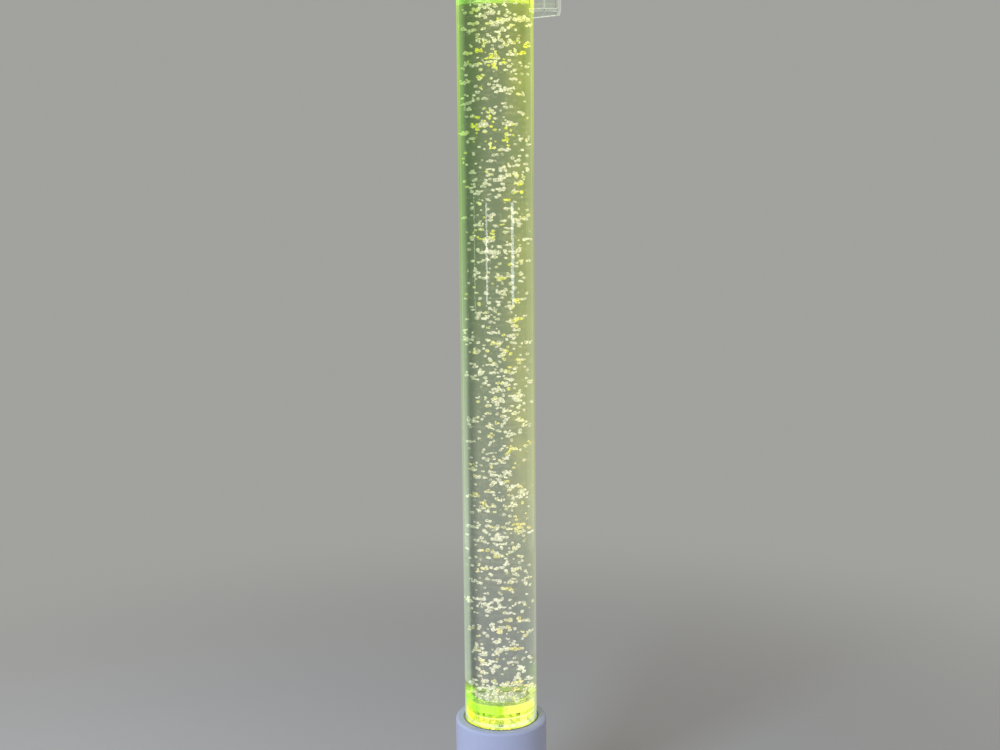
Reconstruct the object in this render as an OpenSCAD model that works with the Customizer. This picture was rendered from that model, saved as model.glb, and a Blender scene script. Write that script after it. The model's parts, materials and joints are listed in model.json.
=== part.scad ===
// Bubble tube floor lamp: a clear water column that stands on a round base and is
// steadied by a clear wall bracket near its top. Millimetres, +Z up. The origin is on
// the tube's axis, on the floor. The bracket points to +X, the service side is +Y.

/* [Tube] */
// Outer diameter of the clear tube
tube_d = 150; // [146:1:154]
// Wall of the clear tube
tube_wall = 5; // [4:0.5:6]
// Length of the clear tube
tube_l = 1600; // [1200:10:1900]
// Depth of the tube's foot below the top of the base
tube_seat = 25; // [20:1:32]
// Empty height between the water and the tube's rim
freeboard = 117; // [100:1:130]
// Height of the lit foot above the base, up to the floor of the water
glow_h = 49; // [46:1:60]
// Thickness of the clear plug bonded into the tube
plug_t = 18; // [16:1:20]
// Number of air bubbles in the water
bubble_count = 120; // [40:1:160]
// Mean radius of a bubble
bubble_r = 4.2; // [3:0.1:5]

/* [Base] */
// Width of the base around the tube
base_margin = 20; // [19:0.5:28]
// Height of the base, from the floor to the top of its cover
base_h = 300; // [292:1:340]
// Wall of the base housing
base_wall = 4; // [3:0.5:5]
// Thickness of the cover ring
cover_t = 7; // [6.5:0.5:9]
// Radius of the cover's rounded edge
cover_edge_r = 6; // [3:0.5:6]
// Height of the rubber foot ring
foot_h = 6; // [5:0.5:10]
// Gap between the foot ring and the case screws' heads
foot_gap = 2.9; // [1.9:0.1:10.9]
// Width of the foot ring
foot_w = 18; // [12:1:24]
// Thickness of the bottom plate
floor_t = 3; // [2.5:0.5:5]
// Thickness of the aluminium deck that the tube stands on
deck_t = 5; // [4:0.5:7]
// Width of the vent slots
vent_w = 4; // [3:0.5:6]
// Height of the vent slots
vent_h = 60; // [30:1:70]

/* [Light] */
// Gap between the light board and the tube's wall
board_gap = 6; // [4:0.5:9]
// Thickness of the circuit boards
pcb_t = 1.6; // [1.2:0.1:2.4]
// Side of one light chip
led_side = 5; // [3:0.5:5.5]
// Height of the light plate's underside above the base
light_rise = 20; // [16:1:22]
// Thickness of the light plate
light_t = 3; // [2:0.5:4]
// Distance of the posts' circle from the light board's edge
post_inset = 12; // [11:0.5:14]
// Diameter of a light post
post_d = 8; // [7:0.5:9]

/* [Air] */
// Radius of the perforated air plate
air_plate_r = 44; // [40:1:46]
// Thickness of the air plate
air_plate_t = 3; // [2:0.5:4]
// Diameter of one air hole
air_hole_d = 1.2; // [0.8:0.1:2]
// Outer diameter of the air hose
air_hose_d = 8; // [7:0.5:9]
// Bore of the air hose
air_bore_d = 4; // [3:0.5:4.5]
// Bend radius of the air hose's upper turns
air_bend = 30; // [24:1:32]

/* [Pump] */
// Length of the air pump
pump_x = 100; // [98:1:106]
// Width of the air pump
pump_y = 60; // [56:1:62]
// Wall of the pump's shells
pump_wall = 2.5; // [2:0.5:3]
// Height of the pump's lower shell
pump_low_h = 32; // [31:0.5:34]
// Height of the pump's cover
pump_top_h = 24; // [20:1:28]
// Height of the pump's rubber feet
pump_foot_h = 5; // [4:0.5:7]

/* [Drain] */
// Outer diameter of the drain hose
drain_hose_d = 12; // [11:0.5:13]
// Bore of the drain hose
drain_bore_d = 8; // [7:0.5:9]
// Height of the drain tap's axis
tap_z = 45; // [42:1:50]
// Length of the tap's lever
lever_l = 38; // [30:1:44]
// Length of the tap's hose spout
spout_l = 18; // [14:1:24]

/* [Rear panel] */
// Half width of the flat rear panel
panel_half = 44; // [42:0.5:45]
// Height of the rear panel
panel_h = 90; // [88:1:100]
// Thickness of the rear panel
panel_t = 3; // [2.5:0.5:3.5]
// Offset of the switch and of the power socket from the middle
panel_part_x = 21; // [20:0.5:24]
// Height of the switch and the power socket
panel_part_z = 92; // [88:1:94]

/* [Bracket] */
// Thickness of the clear bracket panels
sheet_t = 6; // [4:0.5:7]
// Thickness of the bracket's wall plate
wall_plate_t = 6.5; // [5:0.5:8]
// Distance of the wall from the tube's axis
wall_x = 127; // [120:1:150]
// Height of the bracket's box
box_h = 60; // [40:1:64]
// Distance of the bracket's underside below the water's surface
bracket_drop = 29; // [15:1:40]
// Distance of the front panel's face in front of the axis
front_y = 36; // [30:1:45]
// Distance of the wall plate's rear edge behind the axis
plate_back_y = 19; // [15:1:24]
// Height of the wall plate above the box
plate_rise = 30; // [24:1:34]
// Distance between the two wall screws
wall_screw_gap = 30; // [24:1:34]
// Diameter of the wall screws' holes
wall_hole_d = 5; // [4:0.5:6]

/* [Lid] */
// Thickness of the lid
lid_t = 4; // [3:0.5:6]
// Depth of the lid's spigot
spigot_h = 12; // [8:1:16]
// Diameter of the lid's knob
knob_d = 30; // [24:1:36]
// Height of the lid's knob
knob_h = 20; // [16:1:26]

/* [Hidden] */
$fn = 96;

// clearances
slip = 0.05; // bonded, pressed and threaded seats
run = 0.05; // radial play of a turning shaft
play = 0.4; // loose fits and lift-off fits
cut = 1; // how far a cutter runs past a face

// tube and water
tube_r = tube_d / 2;
bore_r = tube_r - tube_wall;
deck_top = base_h - tube_seat;
deck_bot = deck_top - deck_t;
tube_top = deck_top + tube_l;
water_top = tube_top - freeboard;
plug_top = base_h + glow_h;
plug_bot = plug_top - plug_t;
plenum_h = 4;
plenum_rim = 6;
plenum_r = air_plate_r - plenum_rim;

bubble_least = 0.55;
bubble_spread = 0.7;

// base
base_r = tube_r + base_margin;
base_in_r = base_r - base_wall;
cover_bot = base_h - cover_t;
floor_bot = foot_h;
floor_top = floor_bot + floor_t;
ledge_h = 6;
ledge_w = 9;
m4_r = 2;
m4_l = 12;
m4_head_r = 3.8;
m4_head_h = 2.5;
screw_count = 4;
screw_turn = 45;
case_boss_r = 6.8;
case_boss_h = m4_l + 2;
case_boss_sink = 0.5;
case_screw_r = base_in_r - case_boss_r + case_boss_sink;
foot_r = case_screw_r - m4_head_r - foot_gap;
deck_screw_gap = 0.9;
deck_screw_r = base_in_r - m4_head_r - deck_screw_gap;
cover_spigot_h = 10;
vent_turn = 8;
vent_side = 6;
vent_bot = 35;
floor_vent_side = 4;
floor_vent_pitch = 8;
floor_vent_l = 14;
floor_vent_gap = 6;
foot_groove_r = foot_w / 5;
foot_groove_sink = foot_w / 12;
collar_h = 15;
collar_t = 4;
collar_flange_t = 3;
seal_w = 4;
seal_h = 5;
seal_lip = 1;

// small screws
m3_r = 1.5;
m3_l = 8;
post_screw_l = 20;
m3_head_r = 2.75;
m3_head_h = 2;

// light engine
board_bot = deck_top;
board_top = board_bot + pcb_t;
light_bot = base_h + light_rise;
light_top = light_bot + light_t;
light_plate_gap = 1;
light_plate_r = bore_r - light_plate_gap;
board_r = bore_r - board_gap;
post_circle = board_r - post_inset;
post_count = 8;
post_turn = 11.5;
led_rings = [[24, 8], [40, 16]];
led_h = 1.6;
led_well_r = led_side / 4;
led_lens_r = led_side / 2.5;
air_hole_play = 2;
drain_hole_play = 0.6;
air_rings = 3;
air_ring_holes = 6;
air_ring_turn = 10;
air_hole_fn = 24;

// hoses and fittings
air_r = air_hose_d / 2;
air_barb_r = air_bore_d / 2 - slip;
air_way_r = 1.1;
drain_r = drain_hose_d / 2;
drain_barb_r = drain_bore_d / 2 - slip;
drain_way_r = 2.8;
drain_y = bore_r - 12;
port_thread_r = 6;
port_hex_r = 9.5;
port_hex_h = 5;
port_barb_l = 20;
seal_groove_w = 1.8;
seal_groove_h = 1.5;
barb_tooth = 0.5;
barb_teeth = 4;
hose_end_gap = 1;
elbow_r = 7;
elbow_rise = 8;
elbow_bore_rise = elbow_rise + 1;

// rear panel
panel_bot = floor_top + 16;
panel_top = panel_bot + panel_h;
panel_back = sqrt(pow(base_r - base_wall / 2, 2) - pow(panel_half, 2)) - panel_t / 2;
panel_face = panel_back + panel_t;
panel_screw_x = panel_half - 4;
panel_screw_inset = 6;
rib_in_x = panel_half - 8;
rib_depth = 12;
rib_w = 16;

// drain tap
shank_r = 7.8;
shank_in = panel_back - 10;
shank_nut_h = 6;
shank_nut_w = 5;
tap_r = 11;
tap_l = 26;
tap_end = panel_face + tap_l;
ball_y = panel_face + tap_l / 2;
ball_r = 7.5;
cavity_r = 8.2;
cavity_half = 8;
cavity_start = ball_y - cavity_half;
seat_l = 4;
seat_lip = 1;
stem_r = 3;
stem_boss_r = 5.5;
stem_boss_h = 15;
stem_top = 21;
slot_w = 2.2;
slot_z = 5;
tongue_inset = 0.2;
hub_gap = 0.5;
hub_r = 6;
hub_h = 4.5;
lever_w = 8;
lever_t = 3;
grip_count = 4;
grip_pitch = 3;
grip_start = 6;
grip_w = 1.2;
grip_h = 0.8;
grip_inset = 1;
spout_flange_l = 4;

// air pump
pump_bot = floor_top + pump_foot_h;
pump_floor = pump_bot + pump_wall;
pump_seam = pump_bot + pump_low_h;
pump_corner = 6;
ear_r = 5.5;
ear_gap = 0.5;
ear_x = pump_x / 2 + m3_head_r + ear_gap;
ear_y = 20;
ear_low_h = 6;
ear_top_h = 3;
cover_rib_side = 3;
cover_rib_pitch = 12;
cover_rib_w = 4;
cover_rib_h = 2;
cover_rib_r = 1.9;
cover_rib_inset = 8;
rubber_foot_r = 6;
rubber_foot_x = 12;
rubber_foot_y = 10;
rubber_groove_r = 1.6;
rubber_groove_out = 0.8;
block_h = 14;
block_x0 = 3;
block_gap = 0.5;
block_x1 = pump_x / 2 - pump_wall - block_gap;
block_y = 20;
block_top = pump_floor + block_h;
chamber_r = 6;
chamber_sink = 2;
outlet_z = pump_floor + block_h / 2;
outlet_barb_l = 10;
bellows_x = 14;
bellows_r = 11;
bellows_h = 14;
bellows_wall = 1.5;
bellows_fold = 3;
bellows_lip = 1;
bellows_lip_h = 2;
bellows_waist = 0.5;
arm_bot = block_top + bellows_h;
arm_t = 3;
arm_w = 12;
pivot_x = 38;
pivot_z = arm_bot + arm_t / 2;
arm_hub_r = 4;
arm_hub_w = 23;
arm_end_x = -40;
pin_r = 1.5;
pin_end_gap = 1;
cheek_rim = 1;
cheek_w = 3;
cheek_gap = arm_hub_w + 1;
core_x = -29;
core_w = 30;
core_d = 18;
core_leg = 6;
core_mid = 8;
core_h = 21.5;
coil_wall = 4.5;
coil_gap = 0.4;
coil_lift = 0.3;
coil_top_gap = 1;
coil_r = 3;
coil_flange_h = 1.2;
coil_flange_out = 0.5;
magnet_h = 4;
magnet_x = 18;
magnet_y = 14;
pump_wire_rise = 10;
pump_wire_bend = 6;
pump_wire_gap = 2;
pump_wire_in = 6;

// check valve
valve_r = 9;
valve_l = 26;
valve_barb_l = 12;
valve_drop = 18;
valve_top = deck_bot - valve_drop;
valve_bot = valve_top - valve_l;
valve_cave_r = 7;
valve_cave_h = 3.5;
valve_seat_rise = 7;
valve_seat_z = valve_bot + valve_seat_rise;
disc_r = 5;
disc_h = 1.2;
disc_gap = 0.1;

// air hose route, in the plane y = 0
hose_out_gap = 2;
hose_out_x = pump_x / 2 + hose_out_gap;
hose_wall_gap = 11;
hose_rise_x = base_in_r - hose_wall_gap;
hose_low_bend = 16;
hose_barb_gap = 4;
hose_turn_z = valve_bot - valve_barb_l - hose_barb_gap - air_bend;

// control board
pcb_x = 76;
pcb_y = 38;
pcb_gap = 8;
pcb_mid_y = -(pump_y / 2 + pcb_gap + pcb_y / 2);
pcb_boss_h = 8;
pcb_boss_r = 3;
pcb_bot = floor_top + pcb_boss_h;
pcb_top = pcb_bot + pcb_t;
pcb_hole_inset = 4;
terminal_h = 10;
terminal_l = 12;
terminal_w = 8;
led_terminal_l = 10;
terminal_y = pcb_mid_y;
led_wire_y = pcb_mid_y + 11;
chip_w = 7;
chip_h = 1.8;
chip_x = -9;
chip_y = pcb_mid_y - 16;
capacitor_xs = [4, 11];
capacitor_y = pcb_mid_y - 11;
choke_x = -10;
choke_y = pcb_mid_y - 2;
capacitor_r = 3;
capacitor_h = 11;
choke_r = 4;
choke_h = 5;
wire_r = 2;
wire_bend = 12;
wire_z = panel_part_z;

// switch and socket
switch_w = 15;
switch_h = 21;
switch_flange = 2;
switch_body_w = 13.4;
switch_body_h = 19;
switch_depth = 17;
well_depth = 10;
well_play = 1.8;
pivot_cap = 0.5;
rocker_w = 9.4;
rocker_half = 7.6;
rocker_back = 2.5;
rocker_root = 3;
rocker_rim = 2;
rocker_dish = 1;
rocker_proud = 0.4;
rocker_gap = 0.3;
rocker_pin_r = 1.2;
rocker_y = panel_face - 3.5;
rocker_tilt = 8;
socket_r = 5.5;
socket_flange_r = 7.5;
socket_flange_t = 2;
socket_nut_t = 3;
socket_nut_w = 3;
socket_depth = 18;
socket_bore_r = 3.1;
socket_bore_l = 10;
socket_pin_r = 1;

// bracket: its rear panel lies tangent to the tube and ends at the wall plate
bracket_bot = water_top - bracket_drop;
bracket_top = bracket_bot + box_h;
plate_top = bracket_top + plate_rise;
plate_x = wall_x - wall_plate_t;
cement = slip;
tangent_r = tube_r + cement;
rear_reach = norm([plate_x, plate_back_y]);
rear_turn = atan2(plate_back_y, plate_x) + acos((tangent_r + sheet_t) / rear_reach);
rear_l = sqrt(pow(rear_reach, 2) - pow(tangent_r + sheet_t, 2));
rib_gap = 25;
rib_x = plate_x - rib_gap;
rib_t = sheet_t / 2;

// lid
lid_play = play + 0.2;
lid_spigot_t = 4;
lid_hole_r = 4;
lid_holes = 3;
lid_hole_turn = 90;
knob_waist_r = knob_h * 0.3;
knob_waist_out = 1;
knob_edge_r = 2;
wall_screw_y = (plate_back_y - front_y) / 2;
wall_screw_z = bracket_top + plate_rise / 2;

// ---- shared shapes ----

// a ring standing on z = 0
module ring(outer, inner, h) {
    difference() {
        cylinder(r = outer, h = h);
        translate([0, 0, -cut]) cylinder(r = inner, h = h + 2 * cut);
    }
}

// copies its children round the Z axis
module around(count, turn = 0) {
    for (i = [0 : count - 1]) rotate(turn + i * 360 / count) children();
}

// a flat plate with round corners, standing on z = 0 and centred on the axis
module round_plate(x, y, h, r) {
    linear_extrude(h) {
        square([x - 2 * r, y], center = true);
        square([x, y - 2 * r], center = true);
        for (sx = [-1, 1], sy = [-1, 1])
            translate([sx * (x / 2 - r), sy * (y / 2 - r)]) circle(r = r);
    }
}

// a screw whose head sits on z = 0 and whose shank points down
module screw(r, l, head_r, head_h) {
    difference() {
        union() {
            translate([0, 0, -l]) cylinder(r = r, h = l + head_h / 2);
            cylinder(r = head_r, h = head_h);
        }
        translate([0, 0, head_h / 2]) cylinder(r = head_r / 2, h = head_h, $fn = 6);
    }
}

// stands its children on a point of the rear side: their Z axis becomes +Y
module rearward(x, z) {
    translate([x, 0, z]) rotate([-90, 0, 0]) children();
}

// a hose barb of toothed outline, from z = 0 up to its tip, with its bore left open
module barb(r, way_r, l) {
    pitch = l / barb_teeth;
    teeth = [for (i = [0 : barb_teeth - 1], p = [[r, i * pitch], [r - barb_tooth, (i + 1) * pitch]])
        [p[0], p[1]]];
    rotate_extrude()
        polygon(concat([[way_r, 0]], teeth, [[way_r, l]]));
}

// a straight piece of hose or wire, standing on z = 0
module straight(outer, inner, l) {
    if (inner > 0) ring(outer, inner, l);
    else cylinder(r = outer, h = l);
}

// a quarter turn of hose or wire: starts at the origin going up, bends towards +X
module quarter(outer, inner, bend) {
    translate([bend, 0, 0]) rotate([90, 0, 0]) rotate([0, 0, 90])
        rotate_extrude(angle = 90) translate([bend, 0]) difference() {
            circle(r = outer);
            if (inner > 0) circle(r = inner);
        }
}

// ---- base ----

module housing_wall() {
    difference() {
        translate([0, 0, floor_bot]) ring(base_r, base_in_r, cover_bot - floor_bot);
        translate([-panel_half - rocker_gap, panel_back - cut, panel_bot - rocker_gap])
            cube([2 * (panel_half + rocker_gap), base_r, panel_h + 2 * rocker_gap]);
        vent_slots();
    }
}

module vent_slots() {
    for (i = [-vent_side : vent_side])
        rotate(90 + i * vent_turn)
            translate([base_in_r - cut, -vent_w / 2, panel_top + vent_bot])
                cube([base_wall + 2 * cut, vent_w, vent_h]);
}

module panel_ribs() {
    intersection() {
        for (sx = [-1, 1])
            translate([sx > 0 ? rib_in_x : -rib_in_x - rib_w,
                    panel_back - rib_depth, panel_bot - rocker_gap])
                cube([rib_w, rib_depth - rocker_gap, panel_h + 2 * rocker_gap]);
        cylinder(r = base_in_r + base_wall / 2, h = base_h);
    }
}

module base_housing() {
    color("white") difference() {
        union() {
            housing_wall();
            panel_ribs();
            translate([0, 0, deck_bot - ledge_h])
                ring(base_in_r + slip, base_in_r - ledge_w, ledge_h);
            around(screw_count, screw_turn) translate([case_screw_r, 0, floor_top + slip])
                cylinder(r = case_boss_r, h = case_boss_h);
        }
        around(screw_count, screw_turn) translate([case_screw_r, 0, floor_bot - cut])
            cylinder(r = m4_r + slip, h = case_boss_h);
        around(screw_count, screw_turn) translate([deck_screw_r, 0, deck_bot - ledge_h - cut])
            cylinder(r = m4_r + slip, h = ledge_h + 2 * cut);
        panel_screw_places() translate([0, 0, -m3_l - cut])
            cylinder(r = m3_r + slip, h = m3_l + cut);
    }
}

module panel_screw_places() {
    for (sx = [-1, 1], z = [panel_bot + panel_screw_inset, panel_top - panel_screw_inset])
        rearward(sx * panel_screw_x, z) translate([0, 0, panel_face]) children();
}

module base_cover() {
    inner = tube_r + play;
    color("white") difference() {
        rotate_extrude() difference() {
            union() {
                translate([inner, cover_bot]) square([base_r - cover_edge_r - inner, cover_t]);
                translate([inner, cover_bot]) square([base_r - inner, cover_t - cover_edge_r]);
                intersection() {
                    translate([base_r - cover_edge_r, base_h - cover_edge_r]) circle(r = cover_edge_r);
                    translate([inner, cover_bot]) square([base_r - inner, cover_t]);
                }
                translate([base_in_r - slip - base_wall, cover_bot - cover_spigot_h])
                    square([base_wall, cover_spigot_h + cut]);
            }
            translate([inner - cut, cover_bot - cover_t]) square([cut, 3 * cover_t]);
        }
        translate([0, 0, base_h - seal_h + seal_lip])
            cylinder(r = tube_r + seal_w + slip, h = seal_h);
    }
}

module tube_seal() {
    color("dimgray") translate([0, 0, base_h - seal_h + seal_lip]) rotate_extrude() {
        translate([tube_r + slip, 0]) square([seal_w - slip, seal_h - seal_lip]);
        intersection() {
            translate([tube_r + slip, 0]) square([seal_w - slip, seal_h]);
            translate([tube_r + seal_w / 2, seal_h - seal_lip - seal_w / 2 + seal_lip / 2])
                circle(r = seal_w / 2 + seal_lip / 2);
        }
    }
}

module bottom_plate() {
    plate_r = base_in_r - play;
    color("gainsboro") difference() {
        union() {
            translate([0, 0, floor_bot]) cylinder(r = plate_r, h = floor_t);
            board_corners() translate([0, 0, floor_top - slip])
                cylinder(r = pcb_boss_r, h = pcb_boss_h + slip);
        }
        around(screw_count, screw_turn) translate([case_screw_r, 0, floor_bot - cut])
            cylinder(r = m4_r + play / 2, h = floor_t + 2 * cut);
        board_corners() translate([0, 0, pcb_bot - m3_l])
            cylinder(r = m3_r + slip, h = m3_l + cut);
        for (i = [-floor_vent_side : floor_vent_side])
            translate([i * floor_vent_pitch - vent_w / 2, pump_y / 2 + floor_vent_gap, floor_bot - cut])
                cube([vent_w, floor_vent_l, floor_t + 2 * cut]);
    }
}

module foot_ring() {
    color("black") difference() {
        ring(foot_r, foot_r - foot_w, foot_h);
        rotate_extrude() translate([foot_r - foot_w / 2, -foot_groove_sink])
            circle(r = foot_groove_r);
    }
}

module case_screws() {
    color("silver") {
        around(screw_count, screw_turn) translate([case_screw_r, 0, floor_bot]) mirror([0, 0, 1])
            screw(m4_r, m4_l, m4_head_r, m4_head_h);
        around(screw_count, screw_turn) translate([deck_screw_r, 0, deck_top + collar_flange_t])
            screw(m4_r, m4_l, m4_head_r, m4_head_h);
    }
}

module rear_panel() {
    color("silver") difference() {
        translate([-panel_half, panel_back, panel_bot]) cube([2 * panel_half, panel_t, panel_h]);
        panel_screw_places() translate([0, 0, -panel_t - cut])
            cylinder(r = m3_r + play / 2, h = panel_t + 2 * cut);
        rearward(0, tap_z) translate([0, 0, panel_back - cut])
            cylinder(r = shank_r + play / 2, h = panel_t + 2 * cut);
        rearward(-panel_part_x, panel_part_z) translate([0, 0, panel_back - cut])
            cylinder(r = socket_r + play / 2, h = panel_t + 2 * cut);
        translate([panel_part_x, panel_back + panel_t / 2, panel_part_z])
            cube([switch_body_w + play, panel_t + 2 * cut, switch_body_h + play], center = true);
    }
}

module small_screws() {
    color("dimgray") {
        panel_screw_places() screw(m3_r, m3_l, m3_head_r, m3_head_h);
        board_corners() translate([0, 0, pcb_top]) screw(m3_r, m3_l, m3_head_r, m3_head_h);
        pump_ears() translate([0, 0, pump_seam + ear_top_h])
            screw(m3_r, m3_l, m3_head_r, m3_head_h);
        air_plate_places() translate([0, 0, plug_top - m3_head_h])
            screw(m3_r, m3_l, m3_head_r, m3_head_h);
    }
}

module deck_plate() {
    color("silver") translate([0, 0, deck_bot]) difference() {
        cylinder(r = base_in_r - play, h = deck_t);
        around(screw_count, screw_turn) translate([deck_screw_r, 0, -cut])
            cylinder(r = m4_r + play / 2, h = deck_t + 2 * cut);
        light_stack_holes(deck_t);
        translate([0, led_wire_y, -cut]) cylinder(r = wire_r + play, h = deck_t + 2 * cut);
    }
}

module tube_collar() {
    inner = tube_r + play / 2;
    color("gainsboro") translate([0, 0, deck_top]) difference() {
        union() {
            ring(inner + collar_t, inner, collar_h);
            ring(base_in_r - play, inner, collar_flange_t);
        }
        around(screw_count, screw_turn) translate([deck_screw_r, 0, -cut])
            cylinder(r = m4_r + play / 2, h = collar_flange_t + 2 * cut);
        around(screw_count, screw_turn) translate([deck_screw_r, 0, collar_flange_t])
            cylinder(r = m4_head_r + play, h = collar_h);
    }
}

// ---- light ----

module post_places() {
    around(post_count, post_turn - 90) translate([post_circle, 0, 0]) children();
}

// the holes that the deck, the light board and the light plate share, cut from z = 0 up
module light_stack_holes(h) {
    translate([0, 0, -cut]) {
        cylinder(r = air_r + air_hole_play, h = h + 2 * cut);
        translate([0, drain_y, 0]) cylinder(r = drain_r + drain_hole_play, h = h + 2 * cut);
        post_places() cylinder(r = m3_r + play / 2, h = h + 2 * cut);
    }
}

module led_board() {
    color("darkgreen") translate([0, 0, board_bot]) difference() {
        cylinder(r = board_r, h = pcb_t);
        light_stack_holes(pcb_t);
    }
}

module leds() {
    color("lightyellow") for (led_ring = led_rings)
        around(led_ring[1]) translate([led_ring[0], 0, board_top]) difference() {
            translate([-led_side / 2, -led_side / 2, 0]) cube([led_side, led_side, led_h]);
            translate([0, 0, led_h / 2]) cylinder(r1 = led_well_r, r2 = led_lens_r, h = led_h);
        }
}

module light_posts() {
    color([0.9, 0.95, 0.6, 0.7]) post_places() translate([0, 0, board_top]) difference() {
        cylinder(r = post_d / 2, h = light_bot - board_top);
        translate([0, 0, -cut])
            cylinder(r = m3_r + slip, h = post_screw_l - deck_t - pcb_t + 2 * cut);
        translate([0, 0, light_bot - board_top - post_screw_l + light_t - cut])
            cylinder(r = m3_r + slip, h = post_screw_l + cut);
    }
}

module light_plate() {
    color([0.9, 1, 0.5, 0.5]) translate([0, 0, light_bot]) difference() {
        cylinder(r = light_plate_r, h = light_t);
        light_stack_holes(light_t);
    }
}

module post_screws() {
    color("goldenrod") {
        post_places() translate([0, 0, light_top]) screw(m3_r, post_screw_l, m3_head_r, m3_head_h);
        post_places() translate([0, 0, deck_bot]) mirror([0, 0, 1])
            screw(m3_r, post_screw_l, m3_head_r, m3_head_h);
    }
}

// ---- tube, plug and water ----

module tube() {
    color([0.85, 0.95, 0.9, 0.3]) translate([0, 0, deck_top]) ring(tube_r, bore_r, tube_l);
}

module air_plate_places() {
    around(screw_count, screw_turn) translate([(air_plate_r + plenum_r) / 2, 0, 0]) children();
}

module tube_plug() {
    color([0.9, 1, 0.7, 0.5]) difference() {
        translate([0, 0, plug_bot]) cylinder(r = bore_r - slip, h = plug_t);
        translate([0, 0, plug_top - air_plate_t]) cylinder(r = air_plate_r + slip, h = plug_t);
        translate([0, 0, plug_top - air_plate_t - plenum_h])
            cylinder(r = plenum_r, h = plenum_h + cut);
        translate([0, 0, plug_bot - cut]) cylinder(r = port_thread_r + slip, h = plug_t);
        translate([0, drain_y, plug_bot - cut]) {
            cylinder(r = port_thread_r + slip, h = plug_t / 2 + cut);
            cylinder(r = drain_way_r, h = plug_t + 2 * cut);
        }
        for (y = [0, drain_y]) translate([0, y, plug_bot - cut])
            cylinder(r = port_thread_r + seal_groove_w + slip, h = seal_groove_h + cut);
        air_plate_places() translate([0, 0, plug_top - m3_head_h - m3_l - slip])
            cylinder(r = m3_r + slip, h = m3_l + cut);
    }
}

module air_plate() {
    color([1, 1, 0.8, 0.6]) difference() {
        translate([0, 0, plug_top - air_plate_t]) cylinder(r = air_plate_r, h = air_plate_t);
        for (k = [1 : air_rings]) around(air_ring_holes * k, air_ring_turn * k)
            translate([k * plenum_r / (air_rings + 1), 0, plug_top - air_plate_t - cut])
                cylinder(r = air_hole_d / 2, h = air_plate_t + 2 * cut, $fn = air_hole_fn);
        air_plate_places() {
            translate([0, 0, plug_top - air_plate_t - cut])
                cylinder(r = m3_r + slip, h = air_plate_t + 2 * cut);
            translate([0, 0, plug_top - m3_head_h])
                cylinder(r = m3_head_r + play / 2, h = m3_head_h + cut);
        }
    }
}

// a number from 0 to 1 that looks random but follows from n
function scatter(n, k) = let (v = sin(n * k) * 997) v - floor(v);

// the rising bubbles: a golden-angle swirl with scattered radii and heights
module bubbles() {
    zone_bot = plug_top + 2 * bubble_r;
    zone_top = water_top - 2 * bubble_r;
    step = (zone_top - zone_bot) / bubble_count;
    for (n = [0 : bubble_count - 1]) {
        r = bubble_r * (bubble_least + bubble_spread * scatter(n + 1, 61));
        reach = (bore_r - 3 * bubble_r) * sqrt(scatter(n + 1, 23));
        rotate(n * 137.5)
            translate([reach, 0, zone_bot + step * (n + 0.5)])
                sphere(r = r, $fn = 24);
    }
}

module water() {
    color([0.6, 0.85, 0.4, 0.3]) difference() {
        translate([0, 0, plug_top]) cylinder(r = bore_r - slip, h = water_top - plug_top);
        bubbles();
    }
}

// ---- ports, hoses and drain ----

// a hose fitting screwed into the plug from below: thread, hexagon and barb
module port_fitting(thread_l, way_r, barb_r) {
    difference() {
        union() {
            translate([0, 0, plug_bot]) cylinder(r = port_thread_r, h = thread_l);
            translate([0, 0, plug_bot - port_hex_h])
                cylinder(r = port_hex_r, h = port_hex_h, $fn = 6);
        }
        translate([0, 0, plug_bot - port_hex_h - cut])
            cylinder(r = way_r, h = port_hex_h + thread_l + 2 * cut);
    }
    translate([0, 0, plug_bot - port_hex_h]) mirror([0, 0, 1]) barb(barb_r, way_r, port_barb_l);
}

module air_fitting() {
    color("goldenrod")
        port_fitting(plug_t - air_plate_t - plenum_h, air_way_r, air_barb_r);
}

module drain_fitting() {
    color("goldenrod") translate([0, drain_y, 0])
        port_fitting(plug_t / 2 - cut, drain_way_r, drain_barb_r);
}

module port_seals() {
    color("black") for (y = [0, drain_y]) translate([0, y, plug_bot])
        ring(port_thread_r + seal_groove_w, port_thread_r + slip, seal_groove_h - slip);
}

module drain_hose() {
    hose_bot = tap_z + elbow_rise + hose_end_gap;
    hose_top = plug_bot - port_hex_h - hose_end_gap;
    color([0.9, 0.9, 0.9, 0.8]) translate([0, drain_y, hose_bot])
        straight(drain_r, drain_bore_d / 2, hose_top - hose_bot);
}

module drain_elbow() {
    color("goldenrod") translate([0, drain_y, tap_z]) {
        difference() {
            union() {
                sphere(r = elbow_r);
                cylinder(r = elbow_r, h = elbow_rise);
                rotate([-90, 0, 0]) cylinder(r = elbow_r, h = shank_in - drain_y);
            }
            cylinder(r = drain_way_r, h = elbow_bore_rise);
            rotate([-90, 0, 0]) cylinder(r = drain_way_r, h = shank_in - drain_y + cut);
        }
        translate([0, 0, elbow_rise]) barb(drain_barb_r, drain_way_r, port_barb_l);
    }
}

module tap_body() {
    color("silver") difference() {
        union() {
            rearward(0, tap_z) {
                translate([0, 0, shank_in]) cylinder(r = shank_r, h = panel_face - shank_in + cut);
                translate([0, 0, panel_face]) cylinder(r = tap_r, h = tap_l);
            }
            translate([0, ball_y, tap_z]) cylinder(r = stem_boss_r, h = stem_boss_h);
        }
        rearward(0, tap_z) {
            translate([0, 0, shank_in - cut]) cylinder(r = drain_way_r, h = tap_end);
            translate([0, 0, cavity_start]) cylinder(r = cavity_r, h = tap_end);
        }
        translate([0, ball_y, tap_z]) cylinder(r = stem_r + run, h = stem_boss_h + cut);
    }
}

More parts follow.
